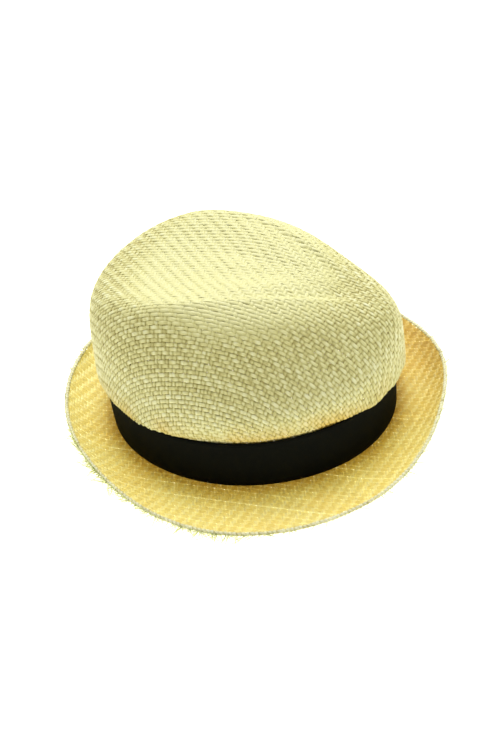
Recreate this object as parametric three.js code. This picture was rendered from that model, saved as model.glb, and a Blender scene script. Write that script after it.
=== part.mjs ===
// A woven straw trilby: a blocked crown with a shallow teardrop dent, a short curled brim,
// a rolled and overcast brim edge, and a plain ribbon band round the foot of the crown.
// Millimetres, +Z up. The front of the hat faces -Y and the wearer's left is +X.
import * as THREE from 'three';

// Driving dimensions
const HEAD_HALF_LENGTH = 98; // outside of the crown's foot, front to back
const HEAD_HALF_WIDTH = 85.5; // outside of the crown's foot, side to side
const HEAD_POINT = 0.05; // how much narrower the foot is at the front than at the back
const CROWN_WALL = 2;
const BRIM_WALL = 2;
const BRIM_FLAT = 8; // flat ring round the head opening, before the brim starts to curl
const BAND_HEIGHT = 37;
const BAND_THICKNESS = 1.2;
const EDGE_RADIUS = 1.9; // the rolled edge is a round bead
const CLEARANCE = 0.3; // gap between pieces that touch

// Facets
const AROUND = 72;
const BRIM_RINGS = 6;
const BAND_RINGS = 3;
const EDGE_SIDES = 8;

const FOOT_HEIGHT = BRIM_WALL + CLEARANCE;
const FOOT = {
  front: HEAD_HALF_LENGTH,
  back: HEAD_HALF_LENGTH,
  half: HEAD_HALF_WIDTH,
  point: HEAD_POINT,
};

// Sections of the crown's outside, from its foot up the wall, over the ridge and into the dent.
// zFront, zSide and zBack are heights over the surface that the brim rests on.
// front, back and half are reaches from the crown's axis, and point narrows the front end.
// rings is the number of rings of facets up to the next section.
const CROWN_SECTIONS = [
  { zFront: FOOT_HEIGHT, zSide: FOOT_HEIGHT, zBack: FOOT_HEIGHT, ...FOOT, rings: 1 },
  { zFront: 21, zSide: 21, zBack: 21, ...FOOT, rings: 1 },
  { zFront: 39.5, zSide: 39.5, zBack: 39.5, ...FOOT, rings: 2 },
  { zFront: 47, zSide: 47, zBack: 47, front: 104.5, back: 104.5, half: 90, point: 0.09, rings: 2 },
  { zFront: 67, zSide: 67, zBack: 67, front: 106.5, back: 107, half: 90.5, point: 0.11, rings: 2 },
  { zFront: 87.5, zSide: 110, zBack: 90, front: 102, back: 100, half: 75, point: 0.3, rings: 2 },
  { zFront: 97.5, zSide: 124.5, zBack: 103.5, front: 89, back: 92, half: 66, point: 0.6, rings: 2 },
  { zFront: 102.5, zSide: 124.5, zBack: 108, front: 73, back: 84, half: 61, point: 0.58, rings: 2 },
  { zFront: 108, zSide: 123, zBack: 111.5, front: 62, back: 58, half: 47, point: 0.74, rings: 2 },
  { zFront: 113.5, zSide: 121, zBack: 115, front: 46, back: 42, half: 31, point: 0.6, rings: 2 },
  { zFront: 117, zSide: 118.5, zBack: 117.5, front: 22, back: 21, half: 14, point: 0.4, rings: 1 },
  { zFront: 119, zSide: 119, zBack: 119, front: 0, back: 0, half: 0, point: 0, rings: 0 },
];

// The two pinches at the front of the crown, pressed in by depth at an angle from the front.
const PINCH = { angle: 50, height: 96, spread: 32, rise: 20, depth: 6 };

const BRIM_SPACING = Math.PI / 4;

// Brim sections from the front to the back, a BRIM_SPACING apart and the same on both sides.
// curl is the angle in degrees that the brim has turned up by at its edge.
const BRIM_SECTIONS = [
  { width: 36.5, curl: 56 },
  { width: 39.3, curl: 9 },
  { width: 42.3, curl: 8 },
  { width: 36.6, curl: 52 },
  { width: 34.6, curl: 62 },
];

const MATERIALS = {
  crown: new THREE.MeshStandardMaterial({ color: 0xebe6b4, roughness: 0.75, metalness: 0 }),
  brim: new THREE.MeshStandardMaterial({ color: 0xecc96c, roughness: 0.75, metalness: 0 }),
  edge: new THREE.MeshStandardMaterial({ color: 0xdde0b0, roughness: 0.8, metalness: 0 }),
  band: new THREE.MeshStandardMaterial({ color: 0x15140f, roughness: 0.6, metalness: 0 }),
};

// Smooth value of every column of a table at a fractional row.
// With mirrored ends the table reads on past its ends as its own reflection.
function between(rows, position, mirrored) {
  const last = rows.length - 1;
  const start = Math.min(Math.floor(position), last - 1);
  const t = position - start;
  const reflected = (index) => last - Math.abs(last - Math.abs(index));
  const clamped = (index) => THREE.MathUtils.clamp(index, 0, last);
  const rowAt = (index) => rows[mirrored ? reflected(index) : clamped(index)];
  const [before, from, to, after] = [start - 1, start, start + 1, start + 2].map(rowAt);
  const blended = {};
  for (const column of Object.keys(from)) {
    const leave = (to[column] - before[column]) / 2;
    const arrive = (after[column] - from[column]) / 2;
    const rise = to[column] - from[column];
    const bend = t * t * (3 * rise - 2 * leave - arrive);
    const settle = t * t * t * (leave + arrive - 2 * rise);
    blended[column] = from[column] + leave * t + bend + settle;
  }
  return blended;
}

// Angle of a step round the hat, counted from the front towards +X and negative past the back.
// The two halves are exact mirror images.
function angleOf(step) {
  const counted = step > AROUND / 2 ? step - AROUND : step;
  return (2 * Math.PI * counted) / AROUND;
}

// A point on the crown's outside, at a fractional section.
function crownPoint(angle, level) {
  const cos = Math.cos(angle);
  const row = between(CROWN_SECTIONS, level, false);
  const taper = 1 - (row.point * (1 + cos)) / 2;
  const ends = (row.zFront + row.zBack) / 2 - row.zSide;
  const height = row.zSide + ((row.zFront - row.zBack) / 2) * cos + ends * cos * cos;
  const x = row.half * Math.sin(angle) * taper;
  const y = (row.back - row.front) / 2 - ((row.back + row.front) / 2) * cos;

  const aside = (THREE.MathUtils.radToDeg(Math.abs(angle)) - PINCH.angle) / PINCH.spread;
  const above = (height - PINCH.height) / PINCH.rise;
  const press = PINCH.depth * Math.exp(-aside * aside - above * above);
  const reach = Math.hypot(x, y);
  const kept = reach > press ? 1 - press / reach : 0;
  return new THREE.Vector3(x * kept, y * kept, height);
}

// Outward direction of the crown's outside, from short steps along it.
function crownNormal(angle, level) {
  const step = 0.02;
  const middle = CROWN_SECTIONS.length - 1;
  if (level === middle) return new THREE.Vector3(0, 0, 1);
  const alongRing = crownPoint(angle + step, level).sub(crownPoint(angle - step, level));
  const upWall = crownPoint(angle, level + step).sub(crownPoint(angle, Math.max(level - step, 0)));
  return alongRing.cross(upWall).normalize();
}

// One closed body through rings of points. Each ring's points run the same way round, and each
// ring is joined to the next. A closed row of rings joins its last ring to its first, and an open
// one ends in rings that have shrunk to a point.
function loft(rings, closed) {
  const count = rings[0].length;
  const indices = [];
  const strips = closed ? rings.length : rings.length - 1;
  for (let ring = 0; ring < strips; ring++) {
    const low = ring * count;
    const high = ((ring + 1) % rings.length) * count;
    for (let step = 0; step < count; step++) {
      const next = (step + 1) % count;
      indices.push(low + step, low + next, high + next);
      indices.push(low + step, high + next, high + step);
    }
  }
  const geometry = new THREE.BufferGeometry().setFromPoints(rings.flat());
  geometry.setIndex(indices);
  geometry.computeVertexNormals();
  return geometry;
}

function ringOf(pointAt) {
  return Array.from({ length: AROUND }, (_, step) => pointAt(angleOf(step)));
}

function piece(name, geometry, material) {
  const mesh = new THREE.Mesh(geometry, material);
  mesh.name = name;
  return mesh;
}

function makeCrown() {
  const levels = CROWN_SECTIONS.slice(0, -1).flatMap(({ rings }, section) =>
    Array.from({ length: rings }, (_, ring) => section + ring / rings),
  );
  levels.push(CROWN_SECTIONS.length - 1);
  const outside = levels.map((level) => ringOf((angle) => crownPoint(angle, level)));
  const inside = levels.map((level) =>
    ringOf((angle) => {
      const inward = crownNormal(angle, level).multiplyScalar(-CROWN_WALL);
      return crownPoint(angle, level).add(inward);
    }),
  );
  return piece('crown', loft([...inside.reverse(), ...outside], false), MATERIALS.crown);
}

// The head opening's outline in plan, with its outward direction.
function headOutline(angle) {
  const cos = Math.cos(angle);
  const sin = Math.sin(angle);
  const taper = 1 - (HEAD_POINT * (1 + cos)) / 2;
  const along = HEAD_HALF_WIDTH * (cos * taper + (HEAD_POINT * sin * sin) / 2);
  return {
    point: new THREE.Vector3(HEAD_HALF_WIDTH * sin * taper, -HEAD_HALF_LENGTH * cos, 0),
    outward: new THREE.Vector3(HEAD_HALF_LENGTH * sin, -along, 0).normalize(),
  };
}

// A point on the brim's top, a distance out from the head opening's outline, with its directions.
function brimAt(angle, distance) {
  const { point, outward } = headOutline(angle);
  const { width, curl } = between(BRIM_SECTIONS, Math.abs(angle) / BRIM_SPACING, true);
  const curvature = THREE.MathUtils.degToRad(curl) / (width - BRIM_FLAT);
  const curled = Math.max(distance - BRIM_FLAT, 0);
  const slope = curvature * curled;
  const reach = Math.min(distance, BRIM_FLAT) + Math.sin(slope) / curvature;
  const place = point.clone().addScaledVector(outward, reach);
  place.z = BRIM_WALL + (1 - Math.cos(slope)) / curvature;
  const tangent = outward.clone().multiplyScalar(Math.cos(slope)).setZ(Math.sin(slope));
  const normal = outward.clone().multiplyScalar(-Math.sin(slope)).setZ(Math.cos(slope));
  return { place, tangent, normal, width };
}

function makeBrim() {
  const distances = (width) => [
    -CROWN_WALL,
    BRIM_FLAT,
    ...Array.from(
      { length: BRIM_RINGS - 1 },
      (_, ring) => BRIM_FLAT + ((width - BRIM_FLAT) * (ring + 1)) / (BRIM_RINGS - 1),
    ),
  ];
  const surface = (depth) =>
    Array.from({ length: BRIM_RINGS + 1 }, (_, ring) =>
      ringOf((angle) => {
        const { width } = brimAt(angle, 0);
        const { place, normal } = brimAt(angle, distances(width)[ring]);
        return place.addScaledVector(normal, -depth);
      }),
    );
  const rings = [...surface(BRIM_WALL), ...surface(0).reverse()];
  return piece('brim', loft(rings, true), MATERIALS.brim);
}

function makeBrimEdge() {
  const rings = Array.from({ length: EDGE_SIDES }, (_, side) => {
    const roll = (2 * Math.PI * side) / EDGE_SIDES;
    return ringOf((angle) => {
      const { width } = brimAt(angle, 0);
      const { place, tangent, normal } = brimAt(angle, width);
      place.addScaledVector(normal, -BRIM_WALL / 2);
      place.addScaledVector(tangent, CLEARANCE + EDGE_RADIUS * (1 - Math.cos(roll)));
      return place.addScaledVector(normal, -EDGE_RADIUS * Math.sin(roll));
    });
  });
  return piece('brim_edge', loft(rings, true), MATERIALS.edge);
}

function makeHatBand() {
  const heights = Array.from({ length: BAND_RINGS }, (_, ring) => {
    return FOOT_HEIGHT + (BAND_HEIGHT * ring) / (BAND_RINGS - 1);
  });
  const wall = (offset) =>
    heights.map((height) =>
      ringOf((angle) => {
        const { point, outward } = headOutline(angle);
        return point.addScaledVector(outward, offset).setZ(height);
      }),
    );
  const inside = wall(CLEARANCE);
  const outside = wall(CLEARANCE + BAND_THICKNESS);
  return piece('hat_band', loft([...outside, ...inside.reverse()], true), MATERIALS.band);
}

const hat = new THREE.Group();
hat.add(makeCrown(), makeBrim(), makeBrimEdge(), makeHatBand());

// The origin is the middle of the hat's outline in plan, on the surface that it rests on.
const outline = new THREE.Box3().setFromObject(hat);
const middle = outline.getCenter(new THREE.Vector3());
hat.position.set(-middle.x, -middle.y, -outline.min.z);

export default hat;
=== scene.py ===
"""A woven straw trilby on a pale floor: real over-and-under strands, an overcast edge and a ribbon band."""

import math
from collections import namedtuple

import bpy
import numpy as np
from mathutils import Matrix, Vector


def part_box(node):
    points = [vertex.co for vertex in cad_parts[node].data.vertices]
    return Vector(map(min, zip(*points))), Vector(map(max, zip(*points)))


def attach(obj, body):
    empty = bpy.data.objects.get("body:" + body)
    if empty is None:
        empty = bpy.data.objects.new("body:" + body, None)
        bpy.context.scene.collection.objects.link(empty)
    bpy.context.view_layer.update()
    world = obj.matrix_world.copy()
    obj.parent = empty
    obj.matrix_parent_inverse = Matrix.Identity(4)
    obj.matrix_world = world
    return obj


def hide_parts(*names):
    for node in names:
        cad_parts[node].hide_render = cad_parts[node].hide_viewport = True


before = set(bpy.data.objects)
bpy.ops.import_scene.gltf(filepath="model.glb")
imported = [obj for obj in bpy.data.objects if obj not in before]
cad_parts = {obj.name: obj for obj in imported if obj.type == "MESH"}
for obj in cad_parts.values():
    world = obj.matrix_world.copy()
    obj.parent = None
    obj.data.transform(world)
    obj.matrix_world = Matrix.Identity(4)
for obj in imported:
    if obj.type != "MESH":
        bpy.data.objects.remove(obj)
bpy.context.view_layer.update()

MM = 0.001
RNG = np.random.default_rng(7)

# ---------------------------------------------------------------- the hat's form as in the CAD, millimetres

BRIM_TOP = 2.0
HEAD_HALF_LENGTH = 98.0
HEAD_HALF_WIDTH = 85.5
HEAD_POINT = 0.05
BRIM_FLAT = 8.0

# One row for each section, from the foot up: height at the front, side and back, how far it reaches to the
# front, to the back and to each side, and how much it narrows towards the front.
CROWN_SECTIONS = np.array([
    (2.3, 2.3, 2.3, 98.0, 98.0, 85.5, 0.05),
    (21.0, 21.0, 21.0, 98.0, 98.0, 85.5, 0.05),
    (39.5, 39.5, 39.5, 98.0, 98.0, 85.5, 0.05),
    (47.0, 47.0, 47.0, 104.5, 104.5, 90.0, 0.09),
    (67.0, 67.0, 67.0, 106.5, 107.0, 90.5, 0.11),
    (87.5, 110.0, 90.0, 102.0, 100.0, 75.0, 0.30),
    (97.5, 124.5, 103.5, 89.0, 92.0, 66.0, 0.60),
    (102.5, 124.5, 108.0, 73.0, 84.0, 61.0, 0.58),
    (108.0, 123.0, 111.5, 62.0, 58.0, 47.0, 0.74),
    (113.5, 121.0, 115.0, 46.0, 42.0, 31.0, 0.60),
    (117.0, 118.5, 117.5, 22.0, 21.0, 14.0, 0.40),
    (119.0, 119.0, 119.0, 0.0, 0.0, 0.0, 0.00),
])
LAST_LEVEL = len(CROWN_SECTIONS) - 1
PINCH_ANGLE, PINCH_HEIGHT, PINCH_SPREAD, PINCH_RISE, PINCH_DEPTH = 50.0, 96.0, 32.0, 20.0, 6.0

# How far the ridge is worn round, in rows of the table, from the front to the back. It fades out towards the
# middle of the top. Sections as far as that on each side are averaged with these weights.
WEAR_TURNS = np.radians([60.0, 95.0, 125.0, 180.0])
WEAR = [0.12, 0.42, 1.55, 1.9]
WEAR_END, WEAR_FADE = 10.5, 2.5
WEAR_WEIGHTS = ((-1.0, 1), (-0.5, 2), (0.0, 3), (0.5, 2), (1.0, 1))
# The worn ridge is filled out again: how far outwards for a wear of 1, in millimetres, how much of that also
# goes upwards, the row of the table that it is round, and over how many rows.
RIDGE_SWELL, RIDGE_RISE, RIDGE_LEVEL, RIDGE_SPAN = 1.1, 0.9, 5.7, 1.6

# How much the straw hangs over the ribbon, from the front to the back, and the waves in that, by height and
# number. LIP_OUT and LIP_DROP are how far out and down it goes where that is 1, in millimetres.
DROOP_TURNS = np.radians([0, 25, 50, 95, 120, 145, 180])
DROOP = [1.3, 0.9, 0.3, 0.2, 1.0, 1.0, 0.5]
DROOP_WAVES = ((0.12, 9), (0.08, 23))
DROOP_LEVEL, DROOP_SPAN = 2.9, 0.55
LIP_OUT, LIP_DROP = 2.2, 4.6

# width, and curl in degrees, every 45 degrees from the front to the back
BRIM_SECTIONS = np.array([(36.5, 56.0), (39.3, 9.0), (42.3, 8.0), (36.6, 52.0), (34.6, 62.0)])

# Points are worked out from the head opening's middle, which is this much forward of the crown's, in metres.
OPENING_AHEAD = 0.0003
crown_low, crown_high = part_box("crown")
SHIFT = np.array([0.0, (crown_low.y + crown_high.y) / 2 - OPENING_AHEAD, 0.0])


def wrapped(angle):
    """The same angle between minus and plus half a turn."""
    return (angle + math.pi) % (2 * math.pi) - math.pi


def polar(x, y):
    """Direction from the front and distance from the middle of a place on a flat cloth."""
    return np.arctan2(x, -y), np.hypot(x, y)


def blend(table, position, mirrored=False):
    """Rows of a table joined by a smooth curve; a mirrored one turns back at its ends."""
    last = len(table) - 1
    start = np.clip(np.floor(position).astype(int), 0, last - 1)
    t = (position - start)[..., None]

    def row(index):
        if mirrored:
            return table[last - np.abs(last - np.abs(index))]
        return table[np.clip(index, 0, last)]

    before, low, high, after = row(start - 1), row(start), row(start + 1), row(start + 2)
    leave, arrive, rise = (high - before) / 2, (after - low) / 2, high - low
    return low + leave * t + t * t * (3 * rise - 2 * leave - arrive) + t ** 3 * (leave + arrive - 2 * rise)


def crown_point(angle, level):
    """Point of the CAD's crown at an angle from the front and a row of the section table."""
    z_front, z_side, z_back, front, back, half, point = np.moveaxis(blend(CROWN_SECTIONS, level), -1, 0)
    cos = np.cos(angle)
    taper = 1 - point * (1 + cos) / 2
    height = z_side + (z_front - z_back) / 2 * cos + ((z_front + z_back) / 2 - z_side) * cos * cos
    x = half * np.sin(angle) * taper
    y = (back - front) / 2 - (back + front) / 2 * cos
    turned = np.abs((np.degrees(angle) + 180) % 360 - 180)
    press = PINCH_DEPTH * np.exp(-((turned - PINCH_ANGLE) / PINCH_SPREAD) ** 2
                                 - ((height - PINCH_HEIGHT) / PINCH_RISE) ** 2)
    reach = np.maximum(np.hypot(x, y), 1e-6)
    kept = np.maximum(1 - press / reach, 0)
    return np.stack([x * kept, y * kept, height], -1)


def crown_form(angle, level):
    """The crown with its ridge worn round, most at the back, and its straw hanging over the ribbon."""
    turned = np.abs(wrapped(angle))
    wear = np.interp(turned, WEAR_TURNS, WEAR) * np.clip((WEAR_END - level) / WEAR_FADE, 0, 1)
    total = sum(weight for _, weight in WEAR_WEIGHTS)
    form = sum(weight / total * crown_point(angle, np.clip(level + step * wear, 0, LAST_LEVEL))
               for step, weight in WEAR_WEIGHTS)
    swell = RIDGE_SWELL * wear ** 2 * np.exp(-((level - RIDGE_LEVEL) / RIDGE_SPAN) ** 2)
    droop = np.interp(turned, DROOP_TURNS, DROOP)
    for height, waves in DROOP_WAVES:
        droop = droop + height * np.sin(waves * angle)
    droop = droop * np.exp(-((level - DROOP_LEVEL) / DROOP_SPAN) ** 2)
    outward = np.stack([np.sin(angle), -np.cos(angle), 0 * angle], -1)
    out = swell + LIP_OUT * droop
    rise = RIDGE_RISE * swell - LIP_DROP * droop
    return form + outward * out[..., None] + np.array([0.0, 0.0, 1.0]) * rise[..., None]


# The cloth is laid on the crown from the middle of the top outwards, so a place on the flat cloth is a
# direction and a distance from there. LEVELS and TURNS give the section and the angle of that place. Where an
# angle of the section and its direction in plan differ, the cloth takes TURN_SHARE of the difference.
TURN_SHARE = 0.1
NET_REACH, NET_STEPS, NET_TURNS = 230.0, 921, 361
TOP_LEVEL, CROWN_RINGS = 10.98, 1099
CIRCLE = np.linspace(-math.pi, math.pi, NET_TURNS)
SPREAD_FIRST, SPREAD_SECOND, SPREAD_LEAST = 0.24, 0.309, 0.7


def spread(distance):
    """Flat cloth per millimetre of crown: the strands lie further apart on the wall than on the top."""
    q = distance / 100
    return np.maximum(1 + SPREAD_FIRST * q - SPREAD_SECOND * q * q, SPREAD_LEAST)


def by_direction(turned, values):
    """Values on spokes at uneven directions, brought to the even directions of CIRCLE."""
    columns = range(values.shape[1])
    return np.stack([np.interp(CIRCLE, turned[:, k], values[:, k], period=2 * math.pi) for k in columns], 1)


def by_distance(distance, values):
    """Values along each spoke, brought to even distances from the middle."""
    values = np.broadcast_to(values, distance.shape)
    grid = np.linspace(0, NET_REACH, NET_STEPS)
    return np.stack([np.interp(grid, distance[k], values[k]) for k in range(NET_TURNS)])


def lay_cloth():
    """The section, the extra turn and the distance to the foot, by direction on the crown's flat cloth."""
    level = np.linspace(TOP_LEVEL, 0, CROWN_RINGS)
    points = crown_form(CIRCLE[:, None], level[None, :])
    plan = np.arctan2(points[..., 0], -points[..., 1])
    offset = wrapped(CIRCLE[:, None] - plan)
    turned = plan + TURN_SHARE * offset
    spokes = np.stack([by_direction(turned, points[..., axis]) for axis in range(3)], -1)
    steps = np.linalg.norm(np.diff(spokes, axis=1), axis=2)
    start = np.linalg.norm(spokes[:, 0, :2], axis=1)[:, None]
    lengths = np.concatenate([start, start + np.cumsum(steps, 1)], 1)
    flat = np.concatenate([start, start + np.cumsum(steps * spread(lengths[:, 1:]), 1)], 1)
    more = by_direction(turned, (1 - TURN_SHARE) * offset)
    return by_distance(flat, level), by_distance(flat, more), flat[:, -1]


LEVELS, TURNS, FOOT_REACH = lay_cloth()


def look_up(table, angle, distance):
    """Value of a table of directions and distances at a place on the flat cloth."""
    a = (angle + math.pi) / (2 * math.pi) * (NET_TURNS - 1)
    d = np.clip(distance / NET_REACH * (NET_STEPS - 1), 0, NET_STEPS - 1.001)
    i = np.clip(np.floor(a).astype(int), 0, NET_TURNS - 2)
    j = np.floor(d).astype(int)
    s, t = a - i, d - j
    low = table[i, j] * (1 - s) + table[i + 1, j] * s
    high = table[i, j + 1] * (1 - s) + table[i + 1, j + 1] * s
    return low * (1 - t) + high * t


def crown_cloth(x, y):
    """Point of the crown's outside at a place on the flat cloth, millimetres."""
    angle, distance = polar(x, y)
    return crown_form(angle + look_up(TURNS, angle, distance), look_up(LEVELS, angle, distance))


def raised(surface, x, y, lift, d=0.8):
    """Point above the surface by lift, along its normal, which is measured over d each way."""
    across = surface(x + d, y) - surface(x - d, y)
    along = surface(x, y + d) - surface(x, y - d)
    normal = np.cross(across, along)
    normal /= np.maximum(np.linalg.norm(normal, axis=-1, keepdims=True), 1e-9)
    return surface(x, y) + normal * lift[..., None]


def head_outline(angle):
    """Point of the crown's foot in plan, and the direction straight out from it."""
    cos, sin = np.cos(angle), np.sin(angle)
    taper = 1 - HEAD_POINT * (1 + cos) / 2
    along = HEAD_HALF_WIDTH * (cos * taper + HEAD_POINT * sin * sin / 2)
    point = np.stack([HEAD_HALF_WIDTH * sin * taper, -HEAD_HALF_LENGTH * cos, 0 * cos], -1)
    outward = np.stack([HEAD_HALF_LENGTH * sin, -along, 0 * cos], -1)
    return point, outward / np.linalg.norm(outward, axis=-1, keepdims=True)


def brim_at(angle, distance):
    """Point on top of the brim, its outward tangent, its normal and the brim's width there."""
    point, outward = head_outline(angle)
    turned = np.abs(wrapped(angle))
    width, curl = np.moveaxis(blend(BRIM_SECTIONS, turned / (math.pi / 4), True), -1, 0)
    curvature = np.radians(curl) / (width - BRIM_FLAT)
    slope = curvature * np.maximum(distance - BRIM_FLAT, 0)
    reach = np.minimum(distance, BRIM_FLAT) + np.sin(slope) / curvature
    up = np.array([0.0, 0.0, 1.0])
    place = point + outward * reach[..., None] + up * (BRIM_TOP + (1 - np.cos(slope)) / curvature)[..., None]
    normal = -outward * np.sin(slope)[..., None] + up * np.cos(slope)[..., None]
    tangent = outward * np.cos(slope)[..., None] + up * np.sin(slope)[..., None]
    return place, tangent, normal, width


# ---------------------------------------------------------------- meshes

def make_piece(name, points, faces, uv, tone=None):
    """A mesh object from points in millimetres and quads, with named maps and, for straw, a tone by point."""
    mesh = bpy.data.meshes.new(name)
    points = np.asarray(points, float).reshape(-1, 3) * MM + SHIFT
    faces = np.asarray(faces, np.int32)
    mesh.vertices.add(len(points))
    mesh.vertices.foreach_set("co", points.ravel())
    mesh.loops.add(faces.size)
    mesh.loops.foreach_set("vertex_index", faces.ravel())
    mesh.polygons.add(len(faces))
    mesh.polygons.foreach_set("loop_start", np.arange(0, faces.size, faces.shape[1], dtype=np.int32))
    mesh.polygons.foreach_set("use_smooth", np.ones(len(faces), bool))
    mesh.update(calc_edges=True)
    mesh.validate()
    for title, values in uv.items():
        corners = np.asarray(values, np.float32).reshape(-1, 2)[faces.ravel()]
        mesh.uv_layers.new(name=title).uv.foreach_set("vector", corners.ravel())
    if tone is not None:
        shade = mesh.attributes.new("tone", "FLOAT", "POINT")
        shade.data.foreach_set("value", np.asarray(tone, np.float32).ravel())
    thing = bpy.data.objects.new(name, mesh)
    bpy.context.scene.collection.objects.link(thing)
    return thing


def strand_piece(name, place, valid, uv, tone):
    """Strands from a grid of points (strand, row, column, xyz); rows where valid is false are left out."""
    index = np.arange(np.prod(place.shape[:3])).reshape(place.shape[:3])
    keep = valid[:, :-1] & valid[:, 1:]
    quads = np.stack([index[:, :-1, :-1], index[:, :-1, 1:], index[:, 1:, 1:], index[:, 1:, :-1]], -1)
    quads = quads[keep].reshape(-1, 4)
    used, flat = np.unique(quads, return_inverse=True)
    uv = {title: values.reshape(-1, 2)[used] for title, values in uv.items()}
    return make_piece(name, place.reshape(-1, 3)[used], flat.reshape(-1, 4), uv, tone.reshape(-1)[used])


# ---------------------------------------------------------------- woven cloth

# painted shade in the weave: how dark a strand's sides are, its sides and its middle where it dives,
# and all of it where it is underneath
PAINTED_SIDE_SHADE, PAINTED_SLOT_SHADE, PAINTED_SLOT_MIDDLE_SHADE, PAINTED_UNDER_SHADE = 0.18, 0.86, 0.18, 0.14
# across the strand: place in widths, height in bows, share of the painted shade
STRAND_SECTION = np.array([(-0.5, -1.0, 1.0), (-0.35, 0.12, 0.0), (0.35, 0.12, 0.0), (0.5, -1.0, 1.0)])
# Spreads of what is random: the tip of a strand's sides and its height, in millimetres, and the tone from one
# strand to the next and along a strand.
TIP, UNEVEN, STRAND_TONE, SPOT_TONE = 0.07, 0.05, 0.035, 0.05
# how far the grain moves from one strand to the next, and how much of its row in the bake map a strand fills
GRAIN_MOVE, ROW_SHARE = 31.7, 0.9

# fill and between: width in spacings at the crossings and between them. lift: rise over the cross strands.
# bow: height of the strand's section. depth: how far it lies below the CAD's surface. loose: unevenness.
# middle: tone. Lengths are in millimetres.
Look = namedtuple("Look", "fill between lift bow depth loose middle")


def strands(name, surface, inside, weave, over, look, shade):
    """One set of parallel strands of a cloth; weave gives this set first, over tells where it is on top."""
    (way, gap), (cross_way, cross_gap) = weave
    skew = abs(math.sin(math.radians(cross_way - way)))
    spacing, step = gap / skew, cross_gap / skew
    way, cross_way = math.radians(way), math.radians(cross_way)
    along = np.array([math.sin(way), -math.cos(way)])
    across = np.array([math.sin(cross_way), -math.cos(cross_way)])
    square = np.array([-along[1], along[0]])
    ranks, beats = int(NET_REACH / spacing), int(NET_REACH / step)
    rank = np.arange(-ranks, ranks + 1)
    beat = np.arange(-2 * beats, 2 * beats + 1) / 2
    i, j = np.meshgrid(rank, beat, indexing="ij")
    x = i * across[0] * spacing + j * along[0] * step
    y = i * across[1] * spacing + j * along[1] * step
    rise = (over(i, np.floor(j)) + over(i, np.ceil(j))) / 2
    fill = np.where(j == np.floor(j), look.fill, look.between)
    width = fill * gap * (1 + RNG.normal(0, look.loose, i.shape))
    drift = RNG.normal(0, look.loose, len(rank))[:, None] + RNG.normal(0, look.loose / 2, i.shape)
    twist = RNG.normal(0, TIP, i.shape)
    side, bulge, dark = STRAND_SECTION.T
    slide = side * width[..., None] + (drift * spacing)[..., None]
    height = rise * look.lift + RNG.normal(0, UNEVEN, i.shape)
    height = height[..., None] + bulge * look.bow + 2 * side * twist[..., None] - look.depth
    place = raised(surface, x[..., None] + slide * square[0], y[..., None] + slide * square[1], height)
    beat_along, rank_across = j[..., None], i[..., None]
    cloth = np.broadcast_arrays(beat_along + GRAIN_MOVE * rank_across, rank_across + side)
    sheet = np.broadcast_arrays((beat_along / beats + 1) / 2,
                                (rank_across + ranks + 0.5 + side * ROW_SHARE) / (2 * ranks + 1))
    # shade gives what is added to the tone as painted light or shade by place, and the painted shade's
    # contrast
    lighter, relief = shade(x, y)
    own = RNG.normal(0, STRAND_TONE, len(rank))[:, None] + RNG.normal(0, SPOT_TONE, i.shape)
    # painted shade: darker sides, more where the strand dives, and all of it where it lies underneath
    dive = (1 - np.abs(rise))[..., None]
    shadow = (PAINTED_SIDE_SHADE + (PAINTED_SLOT_SHADE - PAINTED_SIDE_SHADE) * dive) * dark + PAINTED_SLOT_MIDDLE_SHADE * dive * (1 - dark)
    shadow = shadow + PAINTED_UNDER_SHADE * np.maximum(-rise, 0)[..., None]
    tone = look.middle + (lighter + own * relief)[..., None] - shadow * relief[..., None]
    uv = {"OFBake": np.stack(sheet, -1), "cloth": np.stack(cloth, -1)}
    return strand_piece(name, place, inside(x, y), uv, np.clip(tone, 0, 1))


# run from the front towards +X in degrees, spacing in millimetres; long strands, cross strands
CROWN_WEAVE = ((-3.9, 2.65), (77.0, 3.08))
BRIM_WEAVE = ((-2.0, 3.45), (107.0, 2.18))
# how far the cloth runs past the crown's foot, in past the head opening and out past the brim's width
CROWN_HEM, BRIM_TUCK, BRIM_HEM = 1.5, 2.0, 1.5


def on_crown(x, y):
    """Where the flat cloth is on the crown."""
    angle, distance = polar(x, y)
    return distance < np.interp(angle, CIRCLE, FOOT_REACH) + CROWN_HEM


# The brim's cloth is the brim unrolled flat. For a place on it, REACHES give the distance out from the head
# opening, and BRIM_TURNS what is added to its direction to get its angle round the opening.
UNROLL_TURNS, UNROLL_STEPS, UNROLL_IN, UNROLL_OUT = 1441, 145, -12, 60


def lay_brim():
    """The distance out and the extra turn, for each direction on the brim's flat cloth."""
    angle = np.linspace(-math.pi, math.pi, UNROLL_TURNS)
    point, outward = head_outline(angle)
    reach = np.linspace(UNROLL_IN, UNROLL_OUT, UNROLL_STEPS)
    flat = point[:, None, :2] + outward[:, None, :2] * reach[None, :, None]
    turned, away = polar(flat[..., 0], flat[..., 1])
    skew = by_direction(turned, wrapped(angle[:, None] - turned))
    away = by_direction(turned, away)
    return by_distance(away, reach), by_distance(away, skew)


REACHES, BRIM_TURNS = lay_brim()


def brim_place(x, y):
    """Angle round the head opening and distance out from it, for a place on the brim's flat cloth."""
    angle, away = polar(x, y)
    return angle + look_up(BRIM_TURNS, angle, away), look_up(REACHES, angle, away)


def brim_cloth(x, y):
    """Point on top of the brim at a place on its flat cloth, millimetres."""
    return brim_at(*brim_place(x, y))[0]


def on_brim(x, y):
    """Where the flat cloth is on the brim."""
    turn, reach = brim_place(x, y)
    width = brim_at(turn, 0 * reach)[3]
    return (reach > -BRIM_TUCK) & (reach < width + BRIM_HEM)
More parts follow.
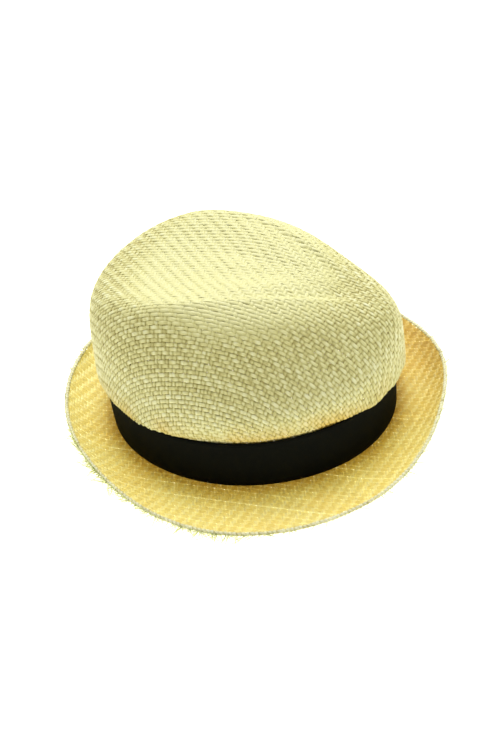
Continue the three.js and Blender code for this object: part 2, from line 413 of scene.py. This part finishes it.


# Distances from the middle of the crown's top or out from the head opening, and what is added to the tone
# there as painted light or shade, or the contrast of the painted shade in the weave. Where the contrast is
# negative, gaps are lighter than strands: painted light in the gaps. The painted shade where the brim turns
# up is a patch with its middle at the angle below, from the front towards +X.
# crown: painted light lower down the wall, and a painted shade's contrast that is faintly negative at the
# top's middle
CROWN_PAINTED_LIGHT = ((60, 92, 106, 122), (-0.01, 0.0, 0.0, 0.07))
CROWN_RELIEF = ((60, 80), (-0.10, 1.05))
# brim: painted shade beside the ribbon, lighter towards the edge, and painted light in the gaps
BRIM_PAINTED_SHADE = ((0, 9, 18, 36), (-0.26, 0.0, 0.10, 0.12))
BRIM_RELIEF = -0.34
# painted shade, which reads as a deeper gold, where the brim turns up at the front and +X side
CURL_SHADE, CURL_SHADE_ANGLE, CURL_SHADE_SPREAD = 0.36, 0.5, 0.55
CURL_SHADE_REACH = ((10, 34), (0.3, 1.0))


def crown_painted_light_and_shade(x, y):
    """Painted light low on the wall, and the painted shade's contrast, which is low on the brightly lit top.
    """
    distance = np.hypot(x, y)
    return np.interp(distance, *CROWN_PAINTED_LIGHT), np.interp(distance, *CROWN_RELIEF)


def brim_painted_light_and_shade(x, y):
    """Painted shade beside the ribbon and where the brim turns up at the front and +X side; painted light in
    gaps.
    """
    angle, away = polar(x, y)
    reach = look_up(REACHES, angle, away)
    curl_shade = CURL_SHADE * np.exp(-((angle - CURL_SHADE_ANGLE) / CURL_SHADE_SPREAD) ** 2) * np.interp(reach, *CURL_SHADE_REACH)
    return np.interp(reach, *BRIM_PAINTED_SHADE) - curl_shade, BRIM_RELIEF + 0 * x


def crown_twill(i, j):
    """1 where long strand i lies over cross strand j, and -1 at every third crossing, where it lies under."""
    return np.where(np.mod(i + j, 3) == 0, -1.0, 1.0)


def brim_twill(i, j):
    """The same for the brim, whose twill climbs the other way."""
    return np.where(np.mod(i - j, 3) == 0, -1.0, 1.0)


CROWN_LONG = Look(fill=0.93, between=1.0, lift=0.42, bow=0.34, depth=0.7, loose=0.04, middle=0.66)
CROWN_CROSS = CROWN_LONG._replace(fill=0.80)
BRIM_LONG = Look(fill=0.98, between=0.99, lift=0.24, bow=0.22, depth=0.9, loose=0.03, middle=0.45)
BRIM_CROSS = BRIM_LONG._replace(fill=0.95, between=0.97, middle=0.63)
crown_a = strands("crown_strands_long", crown_cloth, on_crown, CROWN_WEAVE,
                  crown_twill, CROWN_LONG, crown_painted_light_and_shade)
crown_b = strands("crown_strands_cross", crown_cloth, on_crown, CROWN_WEAVE[::-1],
                  lambda i, j: -crown_twill(j, i), CROWN_CROSS, crown_painted_light_and_shade)
brim_a = strands("brim_strands_long", brim_cloth, on_brim, BRIM_WEAVE,
                 brim_twill, BRIM_LONG, brim_painted_light_and_shade)
brim_b = strands("brim_strands_cross", brim_cloth, on_brim, BRIM_WEAVE[::-1],
                 lambda i, j: -brim_twill(j, i), BRIM_CROSS, brim_painted_light_and_shade)

# ---------------------------------------------------------------- edge, frays and ribbon

# steps of the grain's map along a tube and round it
TUBE_MAP_ALONG, TUBE_MAP_ROUND = 0.3, 0.1


def tube(name, centre, side, up, radius, tone):
    """A closed tube round the hat. centre, side and up are (n, 3); radius and tone are (n, m)."""
    n, m = radius.shape
    roll = np.arange(m) / m * 2 * math.pi
    ring = side[:, None] * np.cos(roll)[None, :, None] + up[:, None] * np.sin(roll)[None, :, None]
    points = centre[:, None] + ring * radius[..., None]
    index = np.arange(n * m).reshape(n, m)
    a, b = index, np.roll(index, -1, 0)
    quads = np.stack([a, np.roll(a, -1, 1), np.roll(b, -1, 1), b], -1).reshape(-1, 4)
    uv = np.broadcast_arrays(np.arange(n)[:, None] * TUBE_MAP_ALONG, np.arange(m)[None, :] * TUBE_MAP_ROUND)
    return make_piece(name, points, quads, {"cloth": np.stack(uv, -1)}, tone)


# the cord's middle outside the brim's edge and below its top, and how far it wanders
EDGE_OUT, EDGE_DOWN, EDGE_WANDER = 1.8, 1.0, 0.12
STITCHES, STITCH_STEPS, EDGE_SIDES = 300, 9, 12
EDGE_CORE, STITCH_RISE, STITCH_SLANT = 0.85, 0.55, 1.3
STITCH_ROUNDNESS, STITCH_UNEVEN = 0.7, 0.14
GROOVE_TONE, STITCH_TONE = 0.05, 0.75


def edge_cord():
    """The cord bound round the brim with slanting stitches, each a little different in place and size."""
    n = STITCHES * STITCH_STEPS
    stitch = np.arange(n) // STITCH_STEPS
    angle = np.arange(n) / n * 2 * math.pi
    width = brim_at(angle, angle * 0)[3]
    place, tangent, normal, _ = brim_at(angle, width)
    wander = RNG.normal(0, EDGE_WANDER, STITCHES)[stitch]
    centre = place - normal * EDGE_DOWN + tangent * (EDGE_OUT + wander[:, None])
    roll = np.arange(EDGE_SIDES) / EDGE_SIDES * 2 * math.pi
    phase = angle[:, None] * STITCHES + np.sin(roll)[None, :] * STITCH_SLANT * 2
    ridge = np.abs(np.cos(phase / 2)) ** STITCH_ROUNDNESS
    each = RNG.normal(0, STITCH_UNEVEN, STITCHES)[stitch][:, None]
    return tube("edge_cord", centre, tangent, normal, EDGE_CORE + STITCH_RISE * ridge * (1 + each),
                np.clip(GROOVE_TONE + STITCH_TONE * ridge + each, 0, 1))


edge = edge_cord()

FRAYS, FRAY_STEPS, FRAY_SIDES = 620, 6, 3
FRAY_RADIUS, FRAY_TAPER = 0.38, 0.6
# shape and scale of the lengths, as a gamma distribution
FRAY_SHAPE, FRAY_SCALE = 2.4, 1.3
# where a fray starts, outside the brim's edge and below its top, and the lowest that it goes
FRAY_OUT, FRAY_DOWN, FRAY_LOWEST = 2.6, 1.0, 0.3
# Spreads of a fray's aim and bend along the edge, middle and spread of its aim upwards, and its most sag.
AIM_ALONG, BEND_ALONG, AIM_UP, AIM_UP_SPREAD, SAG = 0.7, 0.6, -0.1, 0.35, 0.3
FRAY_TONES = (0.1, 0.9)
# how far the grain moves from one fray to the next, and how many radians round a fray are 1 on its map
FRAY_GRAIN_MOVE, FRAY_MAP_ROUND = 3.1, 7

# The frays are thickest in two tufts. Each has its first fray and its count, the middle and spread of their
# angles, how many of them are long threads, and the least and the most that a long thread measures.
Tuft = namedtuple("Tuft", "first count middle spread threads least most")
TUFTS = (
    Tuft(first=0, count=260, middle=-2.2, spread=0.22, threads=8, least=9, most=16),
    Tuft(first=260, count=140, middle=-1.65, spread=0.2, threads=6, least=8, most=14),
)


def frays():
    """Short ends of straw that stick out of the overcast edge, and a few longer threads."""
    angle = RNG.uniform(-math.pi, math.pi, FRAYS)
    for tuft in TUFTS:
        angle[tuft.first:tuft.first + tuft.count] = RNG.normal(tuft.middle, tuft.spread, tuft.count)
    width = brim_at(angle, angle * 0)[3]
    place, tangent, normal, _ = brim_at(angle, width)
    length = RNG.gamma(FRAY_SHAPE, FRAY_SCALE, FRAYS)
    for tuft in TUFTS:
        length[tuft.first:tuft.first + tuft.threads] = RNG.uniform(tuft.least, tuft.most, tuft.threads)
    along = np.cross(normal, tangent)
    one_each = (FRAYS, 1)
    aim = tangent + along * RNG.normal(0, AIM_ALONG, one_each)
    aim = aim + normal * RNG.normal(AIM_UP, AIM_UP_SPREAD, one_each)
    bend = along * RNG.normal(0, BEND_ALONG, one_each) - normal * RNG.uniform(0, SAG, one_each)
    t = np.linspace(0, 1, FRAY_STEPS)[None, :, None]
    reach = length[:, None, None]
    start = (place + tangent * FRAY_OUT - normal * FRAY_DOWN)[:, None]
    path = start + aim[:, None] * t * reach + bend[:, None] * t * t * reach
    path[..., 2] = np.maximum(path[..., 2], FRAY_LOWEST)
    radius = (FRAY_RADIUS * (1 - FRAY_TAPER * t[..., 0]))[..., None]
    turn = np.arange(FRAY_SIDES) / FRAY_SIDES * 2 * math.pi
    ring = along[:, None, None] * np.cos(turn)[:, None] + normal[:, None, None] * np.sin(turn)[:, None]
    points = path[:, :, None] + ring * radius[..., None]
    corners = FRAY_STEPS * FRAY_SIDES
    index = np.arange(FRAYS * corners).reshape(FRAYS, FRAY_STEPS, FRAY_SIDES)
    a, b = index[:, :-1], index[:, 1:]
    quads = np.stack([a, np.roll(a, -1, 2), np.roll(b, -1, 2), b], -1).reshape(-1, 4)
    grain_at = np.arange(FRAYS)[:, None, None] * FRAY_GRAIN_MOVE + t
    uv = np.stack(np.broadcast_arrays(grain_at, 0 * t + turn / FRAY_MAP_ROUND), -1)
    tone = np.repeat(RNG.uniform(*FRAY_TONES, FRAYS), corners)
    return make_piece("frayed_ends", points, quads, {"cloth": uv}, tone)


fray = frays()

# rows of points across the ribbon
RIBBON_ROWS = 13
# height, number and phase of the waves in the ribbon's upper edge
RIBBON_SWAY = ((0.25, 5, 1.0), (0.18, 11, 0.0))
# how far the ribbon bulges between its edges, and the height and number of the waves in its bulge
RIBBON_BULGE, RIBBON_RIPPLE, RIBBON_RIPPLES = 0.35, 0.1, 7
# steps of the ribs' map for each radian round the crown and for each row
RIBBON_MAP_ROUND, RIBBON_MAP_ROW = 92, 3.0
# where the ribbon's end laps over its start, in radians from the front towards +X
LAP_ANGLES = (1.45, 1.72)


def band_ring(name, first, last, n, foot, top, inner, outer):
    """A ribbon along the crown's foot from one angle to another, closed when it goes all the way round.

    It stands from foot to top, and from inner to outer beyond the outline of the head opening.
    """
    whole = math.isclose(last - first, 2 * math.pi)
    angle = first + np.arange(n) / (n if whole else n - 1) * (last - first)
    point, outward = head_outline(angle)
    h = np.linspace(0, 1, RIBBON_ROWS)
    sway = sum(size * np.sin(angle * waves + phase) for size, waves, phase in RIBBON_SWAY)
    height = foot + h[None, :] * (top - foot) + (sway[:, None] * h[None, :])
    ripple = RIBBON_RIPPLE * np.sin(angle * RIBBON_RIPPLES)
    puff = outer + RIBBON_BULGE * np.sin(h * math.pi)[None, :] + ripple[:, None]
    front = point[:, None] + outward[:, None] * puff[..., None]
    rear = point[:, None] + outward[:, None] * (inner + 0 * puff)[..., None]
    front[..., 2] = height
    rear[..., 2] = height
    points = np.concatenate([front, rear[:, ::-1]], 1)
    k = points.shape[1]
    index = np.arange(n * k).reshape(n, k)
    a, b = index, np.roll(index, -1, 0)
    quads = np.stack([a, b, np.roll(b, -1, 1), np.roll(a, -1, 1)], -1).reshape(-1, 4)
    if not whole:
        across = np.arange(RIBBON_ROWS - 1)
        end = np.stack([across, across + 1, k - 2 - across, k - 1 - across], -1)
        quads = np.concatenate([quads[:-k], end[:, ::-1], end + (n - 1) * k])
    uv = np.broadcast_arrays(angle[:, None] * RIBBON_MAP_ROUND, np.arange(k)[None, :] * RIBBON_MAP_ROW)
    return make_piece(name, points, quads, {"cloth": np.stack(uv, -1)})


band = band_ring("ribbon_band", -math.pi, math.pi, n=720, foot=1.5, top=39.3, inner=0.4, outer=1.3)
lap = band_ring("ribbon_lap", *LAP_ANGLES, n=40, foot=1.6, top=39.1, inner=1.0, outer=2.1)

# ---------------------------------------------------------------- materials

def shader_nodes(name, roughness, specular):
    """A new material with its nodes, its links and its main shader."""
    material = bpy.data.materials.new(name)
    material.use_nodes = True
    shader = material.node_tree.nodes["Principled BSDF"]
    shader.inputs["Roughness"].default_value = roughness
    shader.inputs["Specular IOR Level"].default_value = specular
    return material, material.node_tree.nodes, material.node_tree.links, shader


def grain(nodes, links, scale, detail):
    """Noise drawn out along the strand, on the piece's own map."""
    place = nodes.new("ShaderNodeUVMap")
    place.uv_map = "cloth"
    stretch = nodes.new("ShaderNodeMapping")
    stretch.inputs["Scale"].default_value = scale
    noise = nodes.new("ShaderNodeTexNoise")
    noise.inputs["Scale"].default_value = 1.0
    noise.inputs["Detail"].default_value = detail
    links.new(place.outputs["UV"], stretch.inputs["Vector"])
    links.new(stretch.outputs["Vector"], noise.inputs["Vector"])
    return noise


# the grain's scale along and across a strand, and how much it adds to the tone
GRAIN_SCALE, GRAIN_TONE = (0.8, 3.4, 1.0), 0.36
# painted warm bounce light as a tint, and the heights in metres that it fades out between
BounceTint = namedtuple("BounceTint", "colour low high")


def straw(name, stops, bounce_tint, glow=0.0, glow_colour=(1.0, 1.0, 1.0)):
    """Paper straw by tone, from dark to pale; glow is the share of light that comes through from behind."""
    material, nodes, links, shader = shader_nodes(name, roughness=0.5, specular=0.35)
    tone = nodes.new("ShaderNodeAttribute")
    tone.attribute_name = "tone"
    fibre = grain(nodes, links, scale=GRAIN_SCALE, detail=3.0)
    streak = nodes.new("ShaderNodeMath")
    streak.operation = "MULTIPLY_ADD"
    streak.inputs[1].default_value = GRAIN_TONE
    links.new(fibre.outputs["Fac"], streak.inputs[0])
    links.new(tone.outputs["Fac"], streak.inputs[2])
    ramp = nodes.new("ShaderNodeValToRGB")
    ramp.color_ramp.elements.remove(ramp.color_ramp.elements[1])
    ramp.color_ramp.elements[0].position = stops[0][0]
    ramp.color_ramp.elements[0].color = (*stops[0][1:], 1)
    for tone_at, *colour in stops[1:]:
        ramp.color_ramp.elements.new(tone_at).color = (*colour, 1)
    links.new(streak.outputs[0], ramp.inputs["Fac"])
    # painted warm bounce light: a tint in cloudy patches, full below the low height, gone above the high one
    place = nodes.new("ShaderNodeTexCoord")
    apart = nodes.new("ShaderNodeSeparateXYZ")
    fade = nodes.new("ShaderNodeMapRange")
    cloud = nodes.new("ShaderNodeTexNoise")
    cloud.inputs["Scale"].default_value = 28.0
    fade.inputs["From Min"].default_value = bounce_tint.low
    fade.inputs["From Max"].default_value = bounce_tint.high
    fade.inputs["To Min"].default_value = 1.0
    fade.inputs["To Max"].default_value = 0.0
    patch = nodes.new("ShaderNodeMapRange")
    patch.inputs["From Min"].default_value = 0.42
    patch.inputs["From Max"].default_value = 0.66
    share = nodes.new("ShaderNodeMath")
    share.operation = "MULTIPLY"
    tint = nodes.new("ShaderNodeMix")
    tint.data_type = "RGBA"
    tint.blend_type = "MULTIPLY"
    tint.inputs["B"].default_value = (*bounce_tint.colour, 1)
    links.new(place.outputs["Object"], apart.inputs[0])
    links.new(place.outputs["Object"], cloud.inputs["Vector"])
    links.new(apart.outputs["Z"], fade.inputs["Value"])
    links.new(fade.outputs["Result"], share.inputs[0])
    links.new(cloud.outputs["Fac"], patch.inputs["Value"])
    links.new(patch.outputs["Result"], share.inputs[1])
    links.new(share.outputs[0], tint.inputs["Factor"])
    links.new(ramp.outputs["Color"], tint.inputs["A"])
    links.new(tint.outputs["Result"], shader.inputs["Base Color"])
    bump = nodes.new("ShaderNodeBump")
    bump.inputs["Strength"].default_value = 0.25
    bump.inputs["Distance"].default_value = 0.0002
    links.new(fibre.outputs["Fac"], bump.inputs["Height"])
    links.new(bump.outputs["Normal"], shader.inputs["Normal"])
    if glow:
        through = nodes.new("ShaderNodeBsdfTranslucent")
        filtered = nodes.new("ShaderNodeMix")
        filtered.data_type = "RGBA"
        filtered.blend_type = "MULTIPLY"
        filtered.inputs["Factor"].default_value = 1.0
        filtered.inputs["B"].default_value = (*glow_colour, 1)
        links.new(ramp.outputs["Color"], filtered.inputs["A"])
        links.new(filtered.outputs["Result"], through.inputs["Color"])
        both = nodes.new("ShaderNodeMixShader")
        both.inputs["Fac"].default_value = glow
        links.new(shader.outputs["BSDF"], both.inputs[1])
        links.new(through.outputs["BSDF"], both.inputs[2])
        links.new(both.outputs["Shader"], nodes["Material Output"].inputs["Surface"])
    return material


def ribbon(name):
    """Black ribbon with fine upright ribs."""
    material, nodes, links, shader = shader_nodes(name, roughness=0.9, specular=0.08)
    rib = grain(nodes, links, scale=(1.6, 0.3, 1.0), detail=1.0)
    ramp = nodes.new("ShaderNodeValToRGB")
    ramp.color_ramp.elements[0].color = (0.0024, 0.0028, 0.0022, 1)
    ramp.color_ramp.elements[1].color = (0.0062, 0.0070, 0.0056, 1)
    links.new(rib.outputs["Fac"], ramp.inputs["Fac"])
    links.new(ramp.outputs["Color"], shader.inputs["Base Color"])
    bump = nodes.new("ShaderNodeBump")
    bump.inputs["Strength"].default_value = 0.3
    bump.inputs["Distance"].default_value = 0.0002
    links.new(rib.outputs["Fac"], bump.inputs["Height"])
    links.new(bump.outputs["Normal"], shader.inputs["Normal"])
    return material


# tone, red, green, blue
CROWN_STOPS = (
    (0.20, 0.08, 0.055, 0.006),
    (0.50, 0.40, 0.34, 0.10),
    (0.80, 0.72, 0.69, 0.32),
    (1.0, 0.86, 0.86, 0.56),
)
BRIM_STOPS = (
    (0.20, 0.37, 0.21, 0.035),
    (0.50, 0.64, 0.49, 0.145),
    (0.80, 0.82, 0.74, 0.36),
    (1.0, 0.96, 0.94, 0.62),
)
EDGE_STOPS = (
    (0.10, 0.46, 0.40, 0.17),
    (0.50, 0.80, 0.77, 0.48),
    (1.0, 0.96, 0.96, 0.76),
)
FRAY_STOPS = (
    (0.10, 0.72, 0.74, 0.40),
    (0.60, 0.86, 0.89, 0.55),
    (1.0, 0.97, 0.98, 0.75),
)
# painted warm bounce light: on the crown just above the ribbon, and on the brim low down beside it
PAINTED_BOUNCE_ABOVE_RIBBON = BounceTint(colour=(1.0, 0.72, 0.28), low=0.038, high=0.060)
PAINTED_BOUNCE_AT_FOOT = BounceTint(colour=(1.0, 0.9, 0.7), low=0.0, high=0.012)
NO_BOUNCE_TINT = BounceTint(colour=(1.0, 1.0, 1.0), low=0.0, high=0.01)
crown_material = straw("crown_straw", CROWN_STOPS, PAINTED_BOUNCE_ABOVE_RIBBON)
brim_material = straw("brim_straw", BRIM_STOPS, PAINTED_BOUNCE_AT_FOOT, glow=0.5, glow_colour=(1.0, 0.98, 0.8))
edge_material = straw("edge_straw", EDGE_STOPS, NO_BOUNCE_TINT, glow=0.3, glow_colour=(1.0, 1.0, 0.9))
fray_material = straw("fray_straw", FRAY_STOPS, NO_BOUNCE_TINT, glow=0.5, glow_colour=(1.0, 1.0, 0.85))
band_material = ribbon("ribbon")

# ---------------------------------------------------------------- what each piece stands for

for thing, material, node, slot in (
    (crown_a, crown_material, "crown", "crown_straw"),
    (crown_b, crown_material, "crown", "crown_straw"),
    (brim_a, brim_material, "brim", "brim_straw"),
    (brim_b, brim_material, "brim", "brim_straw"),
    (edge, edge_material, "brim_edge", "edge_straw"),
    (fray, fray_material, "brim_edge", "edge_straw"),
    (band, band_material, "hat_band", "ribbon"),
    (lap, band_material, "hat_band", "ribbon"),
):
    thing.data.materials.append(material)
    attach(thing, "root")
    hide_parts(node)

# ---------------------------------------------------------------- stage

# half the floor's side, in metres
FLOOR_HALF = 60
floor_corners = [(x * FLOOR_HALF, y * FLOOR_HALF, 0) for x, y in ((-1, -1), (1, -1), (1, 1), (-1, 1))]
floor_mesh = bpy.data.meshes.new("floor")
floor_mesh.from_pydata(floor_corners, [], [(0, 1, 2, 3)])
floor = bpy.data.objects.new("floor", floor_mesh)
bpy.context.scene.collection.objects.link(floor)
floor_material, _, _, paper = shader_nodes("floor_paper", roughness=0.8, specular=0.5)
paper.inputs["Base Color"].default_value = (0.4, 0.4, 0.4, 1)
paper.inputs["Emission Color"].default_value = (1, 0.97, 0.76, 1)
paper.inputs["Emission Strength"].default_value = 1.6
floor_mesh.materials.append(floor_material)

world = bpy.data.worlds.new("studio")
world.use_nodes = True
background = world.node_tree.nodes["Background"]
background.inputs["Color"].default_value = (1, 1, 1, 1)
background.inputs["Strength"].default_value = 0.25
bpy.context.scene.world = world


def soft_light(name, place, target, size, power):
    """A round area light at a place, turned towards a target."""
    lamp = bpy.data.lights.new(name, "AREA")
    lamp.shape = "DISK"
    lamp.size = size
    lamp.energy = power
    thing = bpy.data.objects.new(name, lamp)
    thing.location = place
    thing.rotation_euler = (Vector(target) - Vector(place)).to_track_quat("-Z", "Y").to_euler()
    bpy.context.scene.collection.objects.link(thing)


soft_light("key", place=(0.62, 0.1, 1.65), target=(0, 0, 0.05), size=1.2, power=36)
bpy.context.scene.view_settings.view_transform = "Standard"

CAMERA_AZIMUTH = math.radians(288.5)
CAMERA_ELEVATION = math.radians(41.07)
CAMERA_ROLL = math.radians(7.96)
CAMERA_DISTANCE = 1.0
CAMERA_TARGET = Vector((0, SHIFT[1], 0.045))
back = Vector((math.sin(CAMERA_AZIMUTH) * math.cos(CAMERA_ELEVATION),
               -math.cos(CAMERA_AZIMUTH) * math.cos(CAMERA_ELEVATION), math.sin(CAMERA_ELEVATION)))
right = (-back).cross(Vector((0, 0, 1))).normalized()
up = right.cross(-back)
right, up = (math.cos(CAMERA_ROLL) * right - math.sin(CAMERA_ROLL) * up,
             math.sin(CAMERA_ROLL) * right + math.cos(CAMERA_ROLL) * up)
lens = bpy.data.cameras.new("camera")
lens.lens = 71.0
lens.sensor_width = 36
lens.shift_x = 0.0039
lens.shift_y = -0.0337
camera = bpy.data.objects.new("camera", lens)
turn = Matrix((right, up, back)).transposed().to_4x4()
camera.matrix_world = Matrix.Translation(CAMERA_TARGET + back * CAMERA_DISTANCE) @ turn
bpy.context.scene.collection.objects.link(camera)
bpy.context.scene.camera = camera
